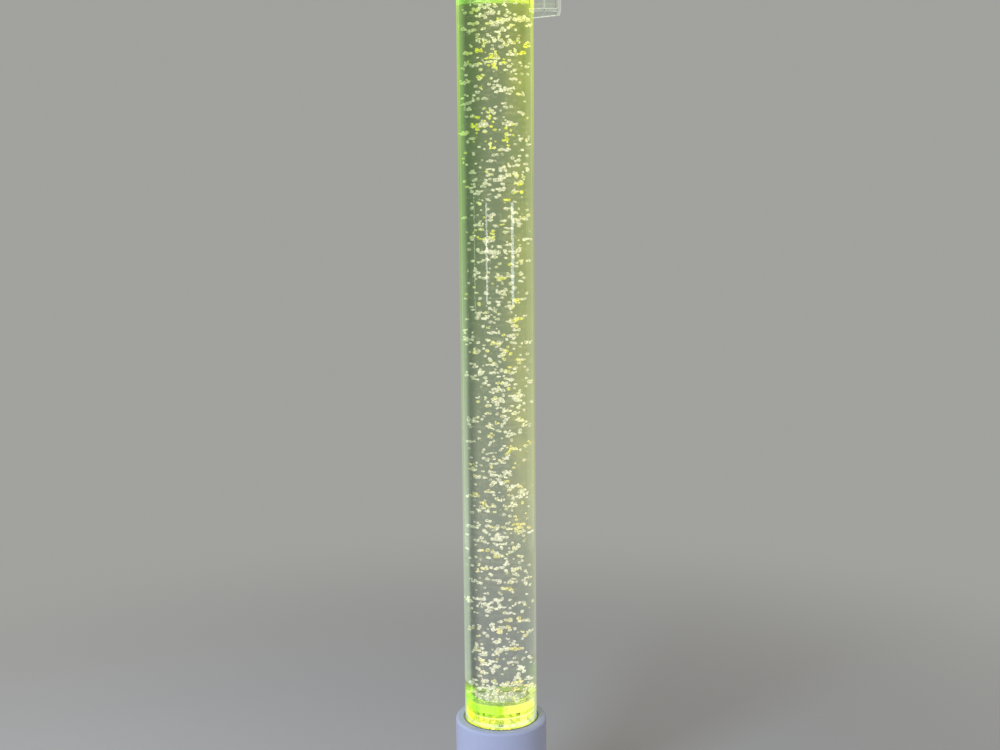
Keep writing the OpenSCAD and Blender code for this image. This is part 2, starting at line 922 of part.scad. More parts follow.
module tap_nut() {
    color("silver") rearward(0, tap_z) translate([0, 0, panel_back - shank_nut_h]) difference() {
        cylinder(r = shank_r + shank_nut_w, h = shank_nut_h, $fn = 6);
        translate([0, 0, -cut]) cylinder(r = shank_r + slip, h = shank_nut_h + 2 * cut);
    }
}

module ball_seats() {
    color("white") rearward(0, tap_z) difference() {
        for (y = [cavity_start, 2 * ball_y - cavity_start - seat_l])
            translate([0, 0, y]) ring(cavity_r - slip, drain_way_r + seat_lip, seat_l);
        translate([0, 0, ball_y]) sphere(r = ball_r + run);
    }
}

module tap_ball() {
    color("silver") translate([0, ball_y, tap_z]) difference() {
        sphere(r = ball_r);
        rotate([0, 90, 0]) translate([0, 0, -ball_r - cut])
            cylinder(r = drain_way_r, h = 2 * (ball_r + cut));
        translate([-ball_r, -slot_w / 2, slot_z]) cube([2 * ball_r, slot_w, ball_r]);
    }
}

module tap_stem() {
    color("silver") translate([0, ball_y, tap_z]) {
        translate([-stem_r + tongue_inset, -slot_w / 2 + slip, slot_z + slip])
            cube([2 * (stem_r - tongue_inset), slot_w - 2 * slip, ball_r - slot_z]);
        translate([0, 0, ball_r + slip]) cylinder(r = stem_r, h = stem_top - ball_r);
    }
}

module tap_lever() {
    hub_bot = stem_boss_h + hub_gap;
    color("firebrick") translate([0, ball_y, tap_z + hub_bot]) difference() {
        union() {
            cylinder(r = hub_r, h = hub_h);
            linear_extrude(lever_t) {
                translate([0, -lever_w / 2]) square([lever_l - lever_w / 2, lever_w]);
                translate([lever_l - lever_w / 2, 0]) circle(r = lever_w / 2);
            }
            for (i = [0 : grip_count - 1])
                translate([lever_l - grip_start - grip_pitch * i, -lever_w / 2 + grip_inset, lever_t - slip])
                    cube([grip_w, lever_w - 2 * grip_inset, grip_h]);
        }
        translate([0, 0, -cut]) cylinder(r = stem_r + slip, h = hub_h + 2 * cut);
    }
}

module tap_spout() {
    thread_start = 2 * ball_y - cavity_start;
    color("silver") rearward(0, tap_z) {
        difference() {
            union() {
                translate([0, 0, thread_start]) cylinder(r = cavity_r - slip, h = tap_end - thread_start);
                translate([0, 0, tap_end]) cylinder(r = tap_r, h = spout_flange_l);
                translate([0, 0, tap_end + spout_flange_l])
                    cylinder(r = drain_bore_d / 2, h = spout_l);
            }
            translate([0, 0, thread_start - cut])
                cylinder(r = drain_way_r, h = tap_l + spout_l + spout_flange_l);
        }
    }
}

module air_hose_upper() {
    hose_bot = valve_top + hose_end_gap;
    hose_top = plug_bot - port_hex_h - hose_end_gap;
    color([0.9, 0.95, 1, 0.8]) translate([0, 0, hose_bot])
        straight(air_r, air_bore_d / 2, hose_top - hose_bot);
}

module air_hose_lower() {
    bore = air_bore_d / 2;
    color([0.9, 0.95, 1, 0.8]) {
        translate([hose_out_x, 0, outlet_z]) rotate([0, 90, 0])
            straight(air_r, bore, hose_rise_x - hose_low_bend - hose_out_x);
        translate([hose_rise_x, 0, outlet_z + hose_low_bend]) mirror([0, 0, 1]) mirror([1, 0, 0])
            quarter(air_r, bore, hose_low_bend);
        translate([hose_rise_x, 0, outlet_z + hose_low_bend])
            straight(air_r, bore, hose_turn_z - air_bend - outlet_z - hose_low_bend);
        translate([hose_rise_x, 0, hose_turn_z - air_bend]) mirror([1, 0, 0])
            quarter(air_r, bore, air_bend);
        translate([air_bend, 0, hose_turn_z]) rotate([0, 90, 0])
            straight(air_r, bore, hose_rise_x - 2 * air_bend);
        translate([0, 0, hose_turn_z + air_bend]) mirror([0, 0, 1])
            quarter(air_r, bore, air_bend);
        translate([0, 0, hose_turn_z + air_bend])
            straight(air_r, bore, valve_bot - hose_end_gap - hose_turn_z - air_bend);
    }
}

module check_valve() {
    color("white") {
        difference() {
            translate([0, 0, valve_bot]) cylinder(r = valve_r, h = valve_l);
            translate([0, 0, valve_bot - cut]) cylinder(r = air_way_r, h = valve_l + 2 * cut);
            translate([0, 0, valve_seat_z]) cylinder(r = valve_cave_r, h = valve_cave_h);
        }
        translate([0, 0, valve_top]) barb(air_barb_r, air_way_r, valve_barb_l);
        translate([0, 0, valve_bot]) mirror([0, 0, 1]) barb(air_barb_r, air_way_r, valve_barb_l);
    }
}

module valve_disc() {
    color("black") translate([0, 0, valve_seat_z + disc_gap]) cylinder(r = disc_r, h = disc_h);
}

// ---- air pump ----

module pump_ears() {
    for (sx = [-1, 1], sy = [-1, 1]) translate([sx * ear_x, sy * ear_y, 0]) children();
}

// the pump's outline with four screw ears, standing on z = 0
module pump_shell(h, ear_z, ear_h) {
    round_plate(pump_x, pump_y, h, pump_corner);
    pump_ears() translate([0, 0, ear_z]) cylinder(r = ear_r, h = ear_h);
}

module pump_cavity(h) {
    round_plate(pump_x - 2 * pump_wall, pump_y - 2 * pump_wall, h, pump_corner - pump_wall);
}

module pump_base() {
    color("slategray") difference() {
        union() {
            difference() {
                translate([0, 0, pump_bot]) pump_shell(pump_low_h, pump_low_h - ear_low_h, ear_low_h);
                translate([0, 0, pump_floor]) pump_cavity(pump_low_h);
            }
            for (sy = [-1, 1]) translate([pivot_x, sy * (cheek_gap + cheek_w) / 2, 0])
                pivot_cheek();
        }
        pump_ears() translate([0, 0, pump_seam - m3_l])
            cylinder(r = m3_r + slip, h = m3_l + cut);
        translate([pump_x / 2 - pump_wall - cut, 0, outlet_z]) rotate([0, 90, 0])
            cylinder(r = air_barb_r + play, h = pump_wall + 2 * cut);
        translate([pivot_x, 0, pivot_z]) rotate([90, 0, 0])
            cylinder(r = pin_r + slip, h = pump_y - 2 * (pump_wall + pin_end_gap), center = true);
        translate([core_x, -pump_y / 2 + pump_wall + cut, outlet_z + pump_wire_rise]) rotate([90, 0, 0])
            cylinder(r = wire_r + play, h = pump_wall + 2 * cut);
    }
}

module pivot_cheek() {
    cheek_r = arm_hub_r + cheek_rim;
    translate([-cheek_r, -cheek_w / 2, pump_floor - slip])
        cube([2 * cheek_r, cheek_w, pivot_z - pump_floor]);
    translate([0, 0, pivot_z]) rotate([90, 0, 0])
        cylinder(r = cheek_r, h = cheek_w, center = true);
}

module pump_cover() {
    color("slategray") {
        difference() {
            translate([0, 0, pump_seam]) pump_shell(pump_top_h, 0, ear_top_h);
            translate([0, 0, pump_seam - cut]) pump_cavity(pump_top_h - pump_wall + cut);
            pump_ears() translate([0, 0, pump_seam - cut])
                cylinder(r = m3_r + play / 2, h = ear_top_h + 2 * cut);
        }
        for (i = [-cover_rib_side : cover_rib_side])
            translate([i * cover_rib_pitch, 0, pump_seam + pump_top_h - slip])
                round_plate(cover_rib_w, pump_y - 2 * cover_rib_inset, cover_rib_h, cover_rib_r);
    }
}

module pump_feet() {
    color("black") for (sx = [-1, 1], sy = [-1, 1])
        translate([sx * (pump_x / 2 - rubber_foot_x), sy * (pump_y / 2 - rubber_foot_y), floor_top])
            rotate_extrude() difference() {
                square([rubber_foot_r, pump_foot_h]);
                translate([rubber_foot_r + rubber_groove_out, pump_foot_h / 2])
                    circle(r = rubber_groove_r);
            }
}

// the E-shaped iron core: a back with three upright legs
module pump_core() {
    color("dimgray") translate([core_x, core_d / 2, pump_floor]) rotate([90, 0, 0])
        linear_extrude(core_d) {
            translate([-core_w / 2, 0]) square([core_w, core_leg]);
            for (sx = [-1, 1])
                translate([sx * (core_w - core_leg) / 2 - core_leg / 2, 0]) square([core_leg, core_h]);
            translate([-core_mid / 2, 0]) square([core_mid, core_h]);
        }
}

module pump_coil() {
    inner_x = core_mid + coil_gap;
    inner_y = core_d + coil_gap;
    wound_wall = coil_wall - coil_flange_out;
    coil_h = core_h - core_leg - coil_top_gap;
    color("chocolate") translate([core_x, 0, pump_floor + core_leg + coil_lift]) difference() {
        union() {
            round_plate(inner_x + 2 * wound_wall, inner_y + 2 * wound_wall, coil_h, coil_r);
            for (z = [0, coil_h - coil_flange_h]) translate([0, 0, z])
                round_plate(inner_x + 2 * coil_wall, inner_y + 2 * coil_wall, coil_flange_h, coil_flange_out);
        }
        translate([-inner_x / 2, -inner_y / 2, -cut]) cube([inner_x, inner_y, coil_h + 2 * cut]);
    }
}

module arm_pin() {
    color("silver") translate([pivot_x, 0, pivot_z]) rotate([90, 0, 0])
        cylinder(r = pin_r, h = cheek_gap + 2 * cheek_w, center = true);
}

module pump_arm() {
    color("gainsboro") difference() {
        union() {
            translate([arm_end_x, -arm_w / 2, arm_bot]) cube([pivot_x - arm_end_x, arm_w, arm_t]);
            translate([pivot_x, 0, pivot_z]) rotate([90, 0, 0])
                cylinder(r = arm_hub_r, h = arm_hub_w, center = true);
        }
        translate([pivot_x, 0, pivot_z]) rotate([90, 0, 0])
            cylinder(r = pin_r + run, h = arm_hub_w + 2 * cut, center = true);
    }
}

module pump_magnet() {
    color("darkgray") translate([core_x - magnet_x / 2, -magnet_y / 2, arm_bot - magnet_h])
        cube([magnet_x, magnet_y, magnet_h]);
}

// a rubber cup with one fold, open towards the valve block
module pump_bellows() {
    rise = bellows_h / 3;
    out = bellows_r - bellows_wall;
    neck = bellows_r - bellows_fold;
    color("black") translate([bellows_x, 0, block_top]) rotate_extrude()
        polygon([
            [out - bellows_lip, 0], [bellows_r, 0], [bellows_r, bellows_lip_h], [neck, rise],
            [bellows_r, 2 * rise], [neck, bellows_h], [0, bellows_h],
            [0, bellows_h - bellows_wall], [neck - bellows_wall, bellows_h - bellows_wall],
            [out - bellows_waist, 2 * rise], [neck - bellows_wall, rise],
            [out - bellows_lip, bellows_lip_h]
        ]);
}

module valve_block() {
    color("white") {
        difference() {
            translate([block_x0, -block_y / 2, pump_floor]) cube([block_x1 - block_x0, block_y, block_h]);
            translate([bellows_x, 0, outlet_z - chamber_sink]) cylinder(r = chamber_r, h = block_h);
            translate([bellows_x, 0, outlet_z]) rotate([0, 90, 0])
                cylinder(r = air_way_r, h = pump_x);
        }
        translate([block_x1, 0, outlet_z]) rotate([0, 90, 0]) {
            ring(air_barb_r, air_way_r, hose_out_x - block_x1);
            translate([0, 0, hose_out_x - block_x1]) barb(air_barb_r, air_way_r, outlet_barb_l);
        }
    }
}

// ---- control and power ----

module board_corners() {
    for (sx = [-1, 1], sy = [-1, 1])
        translate([sx * (pcb_x / 2 - pcb_hole_inset), pcb_mid_y + sy * (pcb_y / 2 - pcb_hole_inset), 0])
            children();
}

module control_board() {
    color("darkgreen") difference() {
        translate([-pcb_x / 2, pcb_mid_y - pcb_y / 2, pcb_bot]) cube([pcb_x, pcb_y, pcb_t]);
        board_corners() translate([0, 0, pcb_bot - cut])
            cylinder(r = m3_r + play / 2, h = pcb_t + 2 * cut);
    }
}

module board_parts() {
    color("black") translate([0, 0, pcb_top]) {
        for (x = [-panel_part_x, panel_part_x])
            translate([x - terminal_l / 2, terminal_y - terminal_w / 2, 0])
                cube([terminal_l, terminal_w, terminal_h]);
        translate([-led_terminal_l / 2, led_wire_y - terminal_w / 2, 0])
            cube([led_terminal_l, terminal_w, terminal_h]);
        translate([chip_x, chip_y, 0]) cube([chip_w, chip_w, chip_h]);
        for (x = capacitor_xs) translate([x, capacitor_y, 0])
            cylinder(r = capacitor_r, h = capacitor_h);
        translate([choke_x, choke_y, 0]) cylinder(r = choke_r, h = choke_h);
    }
}

// a lead from the rear panel over the pump and down to its terminal on the board
module panel_lead(x, rear_y) {
    translate([x, terminal_y + wire_bend, wire_z]) rotate([-90, 0, 0])
        cylinder(r = wire_r, h = rear_y - terminal_y - wire_bend);
    translate([x, terminal_y, wire_z - wire_bend]) rotate(90)
        quarter(wire_r, 0, wire_bend);
    translate([x, terminal_y, pcb_top + terminal_h])
        cylinder(r = wire_r, h = wire_z - wire_bend - pcb_top - terminal_h);
}

module wiring() {
    pump_wire_z = outlet_z + pump_wire_rise;
    pump_wire_y = -pump_y / 2 - pump_wire_gap - pump_wire_bend;
    color("crimson") {
        panel_lead(-panel_part_x, panel_face - socket_depth);
        panel_lead(panel_part_x, panel_face - switch_depth);
        translate([0, led_wire_y, pcb_top + terminal_h])
            cylinder(r = wire_r, h = board_bot - pcb_top - terminal_h);
        translate([core_x, pump_wire_y, 0]) {
            translate([0, pump_wire_bend, pump_wire_z]) rotate([-90, 0, 0])
                cylinder(r = wire_r, h = pump_wire_gap + pump_wall + pump_wire_in);
            translate([0, 0, pump_wire_z - pump_wire_bend]) rotate(90)
                quarter(wire_r, 0, pump_wire_bend);
            translate([0, 0, pcb_top])
                cylinder(r = wire_r, h = pump_wire_z - pump_wire_bend - pcb_top);
        }
    }
}

module power_socket() {
    color("black") rearward(-panel_part_x, panel_part_z) {
        difference() {
            union() {
                translate([0, 0, panel_face - socket_depth]) cylinder(r = socket_r, h = socket_depth + cut);
                translate([0, 0, panel_face]) cylinder(r = socket_flange_r, h = socket_flange_t);
            }
            translate([0, 0, panel_face + socket_flange_t - socket_bore_l])
                cylinder(r = socket_bore_r, h = socket_bore_l + cut);
        }
        translate([0, 0, panel_face + socket_flange_t - socket_bore_l - cut])
            cylinder(r = socket_pin_r, h = socket_bore_l - cut);
    }
}

module socket_nut() {
    color("silver") rearward(-panel_part_x, panel_part_z) translate([0, 0, panel_back - socket_nut_t])
        difference() {
            cylinder(r = socket_r + socket_nut_w, h = socket_nut_t, $fn = 6);
            translate([0, 0, -cut]) cylinder(r = socket_r + slip, h = socket_nut_t + 2 * cut);
        }
}

module switch_body() {
    well_w = rocker_w + 2 * rocker_gap;
    well_h = 2 * rocker_half + well_play;
    color("black") difference() {
        union() {
            translate([panel_part_x - switch_w / 2, panel_face, panel_part_z - switch_h / 2])
                cube([switch_w, switch_flange, switch_h]);
            translate([panel_part_x - switch_body_w / 2, panel_face - switch_depth,
                    panel_part_z - switch_body_h / 2])
                cube([switch_body_w, switch_depth + cut, switch_body_h]);
        }
        translate([panel_part_x - well_w / 2, panel_face - well_depth, panel_part_z - well_h / 2])
            cube([well_w, well_depth + 2 * switch_flange, well_h]);
        translate([panel_part_x, rocker_y, panel_part_z]) rotate([0, 90, 0])
            cylinder(r = rocker_pin_r + run, h = switch_body_w - 2 * pivot_cap, center = true);
    }
}

// the rocker, tipped towards its lower half, with its two pivot stubs
module switch_rocker() {
    face = switch_flange + panel_face - rocker_y;
    color("dimgray") translate([panel_part_x, rocker_y, panel_part_z]) {
        rotate([rocker_tilt, 0, 0]) rotate([90, 0, 90])
            translate([0, 0, -rocker_w / 2]) linear_extrude(rocker_w) polygon([
                [-rocker_back, -rocker_root], [-rocker_back, rocker_root],
                [face - rocker_rim, rocker_half], [face - rocker_proud, rocker_half],
                [face - rocker_proud - rocker_dish, 0],
                [face - rocker_proud, -rocker_half], [face - rocker_rim, -rocker_half]
            ]);
        rotate([0, 90, 0])
            cylinder(r = rocker_pin_r, h = switch_body_w - 2 * (pivot_cap + 2 * run), center = true);
    }
}

// ---- lid ----

module lid() {
    spigot_r = bore_r - lid_play;
    color([0.9, 0.95, 0.95, 0.5]) difference() {
        union() {
            translate([0, 0, tube_top + slip]) cylinder(r = tube_r, h = lid_t);
            translate([0, 0, tube_top - spigot_h]) ring(spigot_r, spigot_r - lid_spigot_t, spigot_h + cut);
        }
        around(lid_holes, lid_hole_turn) translate([bore_r / 2, 0, tube_top - cut])
            cylinder(r = lid_hole_r, h = lid_t + 3 * cut);
        translate([0, 0, tube_top - cut]) cylinder(r = m4_r + slip, h = lid_t + 3 * cut);
    }
}

// a turned knob with a waist, and the stud that holds it in the lid
module lid_knob() {
    lid_face = tube_top + slip + lid_t;
    color([0.9, 0.95, 0.95, 0.5]) translate([0, 0, lid_face]) {
        rotate_extrude() difference() {
            square([knob_d / 2, knob_h]);
            translate([knob_d / 2 + knob_waist_out, knob_waist_r]) circle(r = knob_waist_r);
            translate([knob_d / 2 - knob_edge_r, knob_h - knob_edge_r]) difference() {
                square([knob_edge_r + cut, knob_edge_r + cut]);
                circle(r = knob_edge_r);
            }
        }
        translate([0, 0, -lid_t]) cylinder(r = m4_r, h = lid_t + cut);
    }
}

// ---- wall bracket ----

// turns its children so that +X lies along the bracket's tangent rear panel
module along_rear() {
    rotate(rear_turn) rotate(-90) children();
}

module bracket_outline() {
    difference() {
        union() {
            translate([0, -front_y]) square([plate_x, front_y]);
            polygon([
                [0, 0], [plate_x, 0], [plate_x, plate_back_y],
                [(tangent_r + sheet_t) * cos(rear_turn), (tangent_r + sheet_t) * sin(rear_turn)]
            ]);
        }
        circle(r = tangent_r);
    }
}

module bracket_floor() {
    color([0.85, 0.95, 0.95, 0.5]) translate([0, 0, bracket_bot])
        linear_extrude(sheet_t) bracket_outline();
}

module bracket_front() {
    color([0.85, 0.95, 0.95, 0.5]) difference() {
        translate([0, -front_y, bracket_bot + sheet_t]) cube([plate_x, sheet_t, box_h - sheet_t]);
        translate([0, 0, bracket_bot]) cylinder(r = tangent_r, h = box_h + cut);
    }
}

module bracket_rear() {
    color([0.85, 0.95, 0.95, 0.5]) intersection() {
        translate([0, 0, bracket_bot + sheet_t]) along_rear()
            translate([0, tangent_r, 0]) cube([rear_l, sheet_t, box_h - sheet_t]);
        translate([0, 0, bracket_bot]) cube([plate_x, tube_d, box_h]);
    }
}

module bracket_rib() {
    color([0.85, 0.95, 0.95, 0.5]) difference() {
        intersection() {
            translate([rib_x - rib_t / 2, -front_y + sheet_t, bracket_bot + sheet_t])
                cube([rib_t, tube_d, box_h - 2 * sheet_t]);
            translate([0, 0, bracket_bot]) linear_extrude(box_h) bracket_outline();
        }
        along_rear() translate([-tube_d, tangent_r, bracket_bot])
            cube([3 * tube_d, 2 * sheet_t, box_h]);
    }
}

module bracket_end() {
    plate_w = front_y + plate_back_y;
    color([0.85, 0.95, 0.95, 0.5]) difference() {
        translate([plate_x, -front_y, bracket_bot]) cube([wall_plate_t, plate_w, plate_top - bracket_bot]);
        for (sy = [-1, 1])
            translate([plate_x - cut, wall_screw_y + sy * wall_screw_gap / 2, wall_screw_z])
                rotate([0, 90, 0]) cylinder(r = wall_hole_d / 2, h = wall_plate_t + 2 * cut);
    }
}

base_housing();
base_cover();
tube_seal();
bottom_plate();
foot_ring();
case_screws();
rear_panel();
small_screws();
deck_plate();
tube_collar();
led_board();
leds();
light_posts();
light_plate();
post_screws();
tube();
tube_plug();
air_plate();
water();
air_fitting();
port_seals();
drain_fitting();
drain_hose();
drain_elbow();
tap_body();
tap_nut();
ball_seats();
tap_ball();
tap_stem();
tap_lever();
tap_spout();
air_hose_upper();
air_hose_lower();
check_valve();
valve_disc();
pump_base();
pump_cover();
pump_feet();
pump_core();
pump_coil();
arm_pin();
pump_arm();
pump_magnet();
pump_bellows();
valve_block();
power_socket();
socket_nut();
switch_body();
switch_rocker();
control_board();
board_parts();
wiring();
lid();
lid_knob();
bracket_floor();
bracket_front();
bracket_rear();
bracket_rib();
bracket_end();
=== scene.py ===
"""Bubble tube floor lamp: a clear water column on a white base, lit green and yellow from its foot.

Lengths are in metres, in the frame's axes: X to the right, Y to the back and Z up from the floor.
"""
import json
import math
import random

import bmesh
import bpy
from mathutils import Matrix, Vector, noise


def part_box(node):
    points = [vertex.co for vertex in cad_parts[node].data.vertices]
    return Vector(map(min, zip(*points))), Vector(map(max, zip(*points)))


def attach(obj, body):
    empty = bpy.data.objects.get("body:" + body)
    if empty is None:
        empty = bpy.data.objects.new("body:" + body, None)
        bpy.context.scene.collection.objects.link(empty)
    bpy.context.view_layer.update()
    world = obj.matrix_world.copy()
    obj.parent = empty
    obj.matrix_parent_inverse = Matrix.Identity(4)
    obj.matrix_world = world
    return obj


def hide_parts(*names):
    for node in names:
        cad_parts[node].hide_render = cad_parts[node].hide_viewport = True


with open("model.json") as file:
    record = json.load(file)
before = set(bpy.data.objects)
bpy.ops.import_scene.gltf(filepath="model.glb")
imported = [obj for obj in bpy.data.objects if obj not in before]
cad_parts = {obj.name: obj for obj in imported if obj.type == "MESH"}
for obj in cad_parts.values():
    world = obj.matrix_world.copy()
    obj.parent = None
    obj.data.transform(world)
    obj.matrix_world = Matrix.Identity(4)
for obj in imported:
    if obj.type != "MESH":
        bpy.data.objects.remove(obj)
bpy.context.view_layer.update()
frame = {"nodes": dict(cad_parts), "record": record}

bpy.context.scene.view_settings.view_transform = "Standard"

MM = 0.001
ACRYLIC_IOR = 1.49
WATER_IOR = 1.333
DARK = (0, 0, 0)
BACKDROP = (0.36, 0.362, 0.345)


# ---- camera ----

def aim_camera():
    """Looks at the lamp from the front, from above its middle and slightly downwards."""
    eye = (0.004, -2.406, 1.355)
    degrees_down = 7.87
    degrees_tilted = -0.5
    lens = bpy.data.cameras.new("camera")
    lens.sensor_width = 36
    lens.lens = 43.2
    camera = bpy.data.objects.new("camera", lens)
    pitch = Matrix.Rotation(math.radians(90 - degrees_down), 4, "X")
    roll = Matrix.Rotation(math.radians(degrees_tilted), 4, "Z")
    camera.matrix_world = Matrix.Translation(eye) @ pitch @ roll
    bpy.context.scene.collection.objects.link(camera)
    bpy.context.scene.camera = camera


aim_camera()


# ---- finishes ----

class Wire:
    """A shader value, on which Python's operators add Math nodes."""

    def __init__(self, nodes, socket):
        self.nodes = nodes
        self.socket = socket

    def __add__(self, other):
        return self.nodes.math("ADD", self, other)

    def __radd__(self, other):
        return self.nodes.math("ADD", other, self)

    def __sub__(self, other):
        return self.nodes.math("SUBTRACT", self, other)

    def __rsub__(self, other):
        return self.nodes.math("SUBTRACT", other, self)

    def __mul__(self, other):
        return self.nodes.math("MULTIPLY", self, other)

    def __rmul__(self, other):
        return self.nodes.math("MULTIPLY", other, self)


class Nodes:
    """The shader nodes of a material or of the world."""

    def __init__(self, owner):
        owner.use_nodes = True
        self.tree = owner.node_tree
        self.tree.nodes.clear()

    def node(self, kind, settings=None, sockets=None, out=0):
        """Adds a node with its settings and sockets, and returns one of its outputs."""
        made = self.tree.nodes.new(kind)
        for name, value in (settings or {}).items():
            setattr(made, name, value)
        for name, value in (sockets or {}).items():
            if isinstance(value, Wire):
                self.tree.links.new(made.inputs[name], value.socket)
            else:
                made.inputs[name].default_value = value
        return Wire(self, made.outputs[out])

    def math(self, operation, first, second):
        return self.node("ShaderNodeMath", {"operation": operation}, {0: first, 1: second})

    def end(self, kind, shader):
        """Leads a shader into the output node that ends the tree."""
        output = self.tree.nodes.new(kind)
        self.tree.links.new(output.inputs["Surface"], shader.socket)


class Finish(Nodes):
    """A procedural material, patterned on its object's own coordinates."""

    def __init__(self, name):
        self.material = bpy.data.materials.new(name)
        super().__init__(self.material)
        self.place = self.node("ShaderNodeTexCoord", out="Object")

    def axis(self, name):
        """The place along X, Y or Z, in metres."""
        return self.node("ShaderNodeSeparateXYZ", None, {0: self.place}, name)

    def from_axis(self):
        """The distance from the tube's axis, in metres."""
        sockets = {0: self.place, 1: (1, 1, 0)}
        level = self.node("ShaderNodeVectorMath", {"operation": "MULTIPLY"}, sockets)
        return self.node("ShaderNodeVectorMath", {"operation": "LENGTH"}, {0: level}, "Value")

    def facing(self, name):
        """How square a face lies to the X, Y or Z axis, from 0 to 1."""
        normal = self.node("ShaderNodeTexCoord", out="Normal")
        along = self.node("ShaderNodeSeparateXYZ", None, {0: normal}, name)
        return self.math("ABSOLUTE", along, 0)

    def rise(self, value, low, high):
        """0 below low, 1 above high, and a smooth rise between them."""
        settings = {"interpolation_type": "SMOOTHSTEP"}
        return self.node("ShaderNodeMapRange", settings, {"Value": value, "From Min": low, "From Max": high})

    def fall(self, value, low, high):
        """1 below low, 0 above high, and a smooth fall between them."""
        return 1 - self.rise(value, low, high)

    def mix(self, mask, first, second, blend="MIX"):
        """A colour between two others, each a Wire or three numbers."""
        pair = [c if isinstance(c, Wire) else (*c, 1) for c in (first, second)]
        settings = {"data_type": "RGBA", "blend_type": blend}
        return self.node("ShaderNodeMix", settings, {0: mask, 6: pair[0], 7: pair[1]}, 2)

    def noise(self, scale, detail=2, roughness=0.5, stretch=(1, 1, 1)):
        """Soft random grey, with stretch as its scale along each axis."""
        place = self.place
        if stretch != (1, 1, 1):
            place = self.node("ShaderNodeMapping", None, {"Vector": place, "Scale": stretch})
        sockets = {"Vector": place, "Scale": scale, "Detail": detail, "Roughness": roughness}
        return self.node("ShaderNodeTexNoise", None, sockets)

    def bump(self, height, strength, distance):
        """A normal that follows a height."""
        sockets = {"Height": height, "Strength": strength, "Distance": distance}
        return self.node("ShaderNodeBump", None, sockets)

    def surface(self, sockets):
        """Ends the material in one Principled shader with these sockets."""
        self.end("ShaderNodeOutputMaterial", self.node("ShaderNodeBsdfPrincipled", None, sockets))
        return self.material


def dim(colour, share):
    """A share of a colour's light."""
    return tuple(share * c for c in colour)


def moulded_shell():
    """Cool white moulded plastic with a fine grain and faint handling marks."""
    finish = Finish("moulded_shell")
    grain = finish.noise(1400, 2)
    cloud = finish.noise(14, 3, 0.6)
    marks = finish.rise(finish.noise(60, 4, 0.7, (1, 1, 0.3)), 0.55, 0.75)
    return finish.surface({
        "Base Color": finish.mix(cloud, (0.56, 0.61, 0.83), (0.60, 0.65, 0.86)),
        "Roughness": 0.30 + 0.08 * cloud + 0.06 * marks,
        "Normal": finish.bump(grain, 0.12, 0.2 * MM),
        "Specular IOR Level": 0.5,
    })


def plain_plastic(name, dark, light, roughness):
    """Moulded plastic or rubber of two close tones."""
    finish = Finish(name)
    grain = finish.noise(1100, 3)
    cloud = finish.noise(35, 3, 0.6)
    return finish.surface({
        "Base Color": finish.mix(cloud, dark, light),
        "Roughness": roughness + 0.12 * cloud,
        "Normal": finish.bump(grain, 0.2, 0.2 * MM),
    })


def worked_metal(name, dark, light, roughness, stretch=(1, 1, 1), flood=DARK):
    """Metal with fine working lines along one axis and cloudy tarnish; flood is light that fills it."""
    finish = Finish(name)
    lines = finish.noise(260, 4, 0.65, stretch)
    cloud = finish.noise(40, 3, 0.6)
    return finish.surface({
        "Base Color": finish.mix(cloud, dark, light),
        "Metallic": 1.0,
        "Roughness": roughness + 0.14 * lines + 0.06 * cloud,
        "Normal": finish.bump(lines, 0.1, 0.1 * MM),
        "Emission Color": (*flood, 1),
        "Emission Strength": 1.0,
    })


def polished_acrylic(finish, tint, haze=0):
    """The sockets of clear polished acrylic with a slightly uneven tint; haze dulls it."""
    cloud = finish.noise(18, 2)
    return {
        "Base Color": finish.mix(cloud, dim(tint, 0.97), tint),
        "Roughness": 0.015 + haze,
        "IOR": ACRYLIC_IOR,
        "Transmission Weight": 1.0,
    }


def clear_plastic(name, tint, haze=0):
    """Clear plastic that carries no light."""
    finish = Finish(name)
    return finish.surface(polished_acrylic(finish, tint, haze))


def bracket_sheet(name, flat_axis, edge_glow, face_share=0, spill=None):
    """A clear sheet of the bracket, square to an axis, that catches the light along its cut edges.

    Spill is light from the lit tube in the end of the sheet that lies in front of the tube.
    """
    finish = Finish(name)
    tube_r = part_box("tube")[1].x
    edge = finish.rise(1 - finish.facing(flat_axis), 0.30, 0.55)
    edge_tone = (0.92 * edge_glow, edge_glow, 0.80 * edge_glow)
    glow = finish.mix(edge, (face_share * edge_glow,) * 3, edge_tone)
    if spill:
        before_tube = finish.fall(finish.axis("X"), tube_r - 1 * MM, tube_r + 2 * MM)
        glow = finish.mix(before_tube, glow, spill)
    sockets = polished_acrylic(finish, (0.94, 0.96, 0.94))
    sockets["Emission Color"] = glow
    sockets["Emission Strength"] = 1.0
    return finish.surface(sockets)


